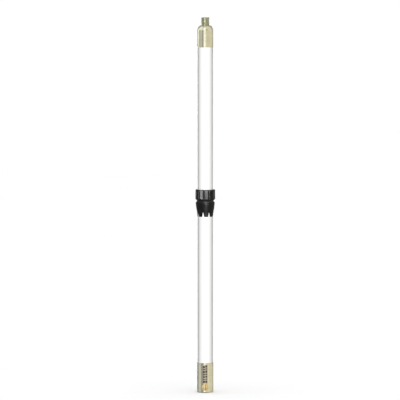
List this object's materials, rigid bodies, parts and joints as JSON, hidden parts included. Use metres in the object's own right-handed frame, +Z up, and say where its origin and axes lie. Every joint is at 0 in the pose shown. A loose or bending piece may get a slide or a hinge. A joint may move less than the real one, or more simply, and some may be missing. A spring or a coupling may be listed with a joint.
{
  "type": "omnidirectional antenna",
  "caption": "Slim white fibreglass omni antenna on a plated ferrule with a recessed coax socket, a black tuning collar halfway up and a threaded stud on top.",
  "frame": {"origin": "centre of the base ferrule's lower face, on the antenna's axis", "axes": "+Z up along the antenna, -Y towards the earth screw at the front, +X to the right of it"},
  "size_m": [0.0332, 0.0332, 0.6337],
  "materials": {
    "plated_brass": "nickel-plated brass, turned, satin",
    "bare_brass": "bare brass, lightly tarnished",
    "contact_metal": "silver-plated brass",
    "copper": "bare and enamelled copper",
    "tinned_braid": "tinned copper braid",
    "spring_steel": "blackened spring steel",
    "band_aluminium": "turned aluminium",
    "fibreglass": "white gelcoat on wound fibreglass",
    "black_nylon": "moulded black nylon",
    "ptfe": "white PTFE",
    "jacket_pvc": "black PVC jacket",
    "polyethylene": "natural polyethylene",
    "foam": "closed-cell foam",
    "bobbin_plastic": "moulded glass-filled nylon",
    "seal_rubber": "black nitrile rubber",
    "capacitor_ceramic": "brown lacquered ceramic"
  },
  "bodies": {
    "mast": {"base_ferrule": "plated_brass", "earth_washer": "bare_brass", "earth_screw": "bare_brass", "socket_body": "plated_brass", "socket_gasket": "seal_rubber", "socket_insulator": "ptfe", "socket_contact": "contact_metal", "socket_clamp_ring": "bare_brass", "earth_tag": "contact_metal", "socket_lock_washer": "spring_steel", "socket_nut": "plated_brass", "coax_jacket": "jacket_pvc", "coax_braid": "tinned_braid", "coax_dielectric": "polyethylene", "coax_conductor": "copper", "lower_braid_crimp": "contact_metal", "upper_braid_crimp": "contact_metal", "braid_tail": "tinned_braid", "capacitor": "capacitor_ceramic", "capacitor_lead": "contact_metal", "coil_former": "bobbin_plastic", "matching_coil": "copper", "coil_tap_lead": "copper", "coil_earth_lead": "copper", "coil_top_lead": "copper", "rod_collar": "bare_brass", "radiator_rod": "copper", "radome_tube": "fibreglass", "threaded_sleeve": "black_nylon", "top_ferrule": "plated_brass", "stud_set_screw": "plated_brass", "joint_stud": "plated_brass", "lower_tube_seal": "seal_rubber", "upper_tube_seal": "seal_rubber", "coax_spacer_1": "foam", "coax_spacer_2": "foam", "coax_spacer_3": "foam", "rod_spacer_1": "foam", "rod_spacer_2": "foam", "rod_spacer_3": "foam", "rod_spacer_4": "foam"},
    "band_slider": {"tuning_band": "band_aluminium"},
    "tuning_nut": {"tuning_ring": "black_nylon", "band_snap_ring": "spring_steel", "ring_wiper": "seal_rubber"},
    "washer_slider": {"lock_washer": "spring_steel"},
    "lock_nut": {"lock_ring": "black_nylon"}
  },
  "joints": [
    {"name": "tuning_travel", "type": "slide", "parent": "mast", "child": "band_slider", "axis": [0, 0, 1], "range_m": [0, 0.006]},
    {"name": "tuning_ring_turn", "type": "hinge", "parent": "band_slider", "child": "tuning_nut", "pos_m": [0, 0, 0.334], "axis": [0, 0, 1], "range_deg": [0, 1440.5]},
    {"name": "lock_travel", "type": "slide", "parent": "mast", "child": "washer_slider", "axis": [0, 0, 1], "range_m": [-0.006, 0]},
    {"name": "lock_ring_turn", "type": "hinge", "parent": "washer_slider", "child": "lock_nut", "pos_m": [0, 0, 0.3108], "axis": [0, 0, 1], "range_deg": [-1440.5, 0]}
  ],
  "couplings": [
    {"joint": "tuning_ring_turn", "follows": "tuning_travel", "rad_per_m": 4188.8},
    {"joint": "lock_ring_turn", "follows": "lock_travel", "rad_per_m": 4188.8}
  ]
}
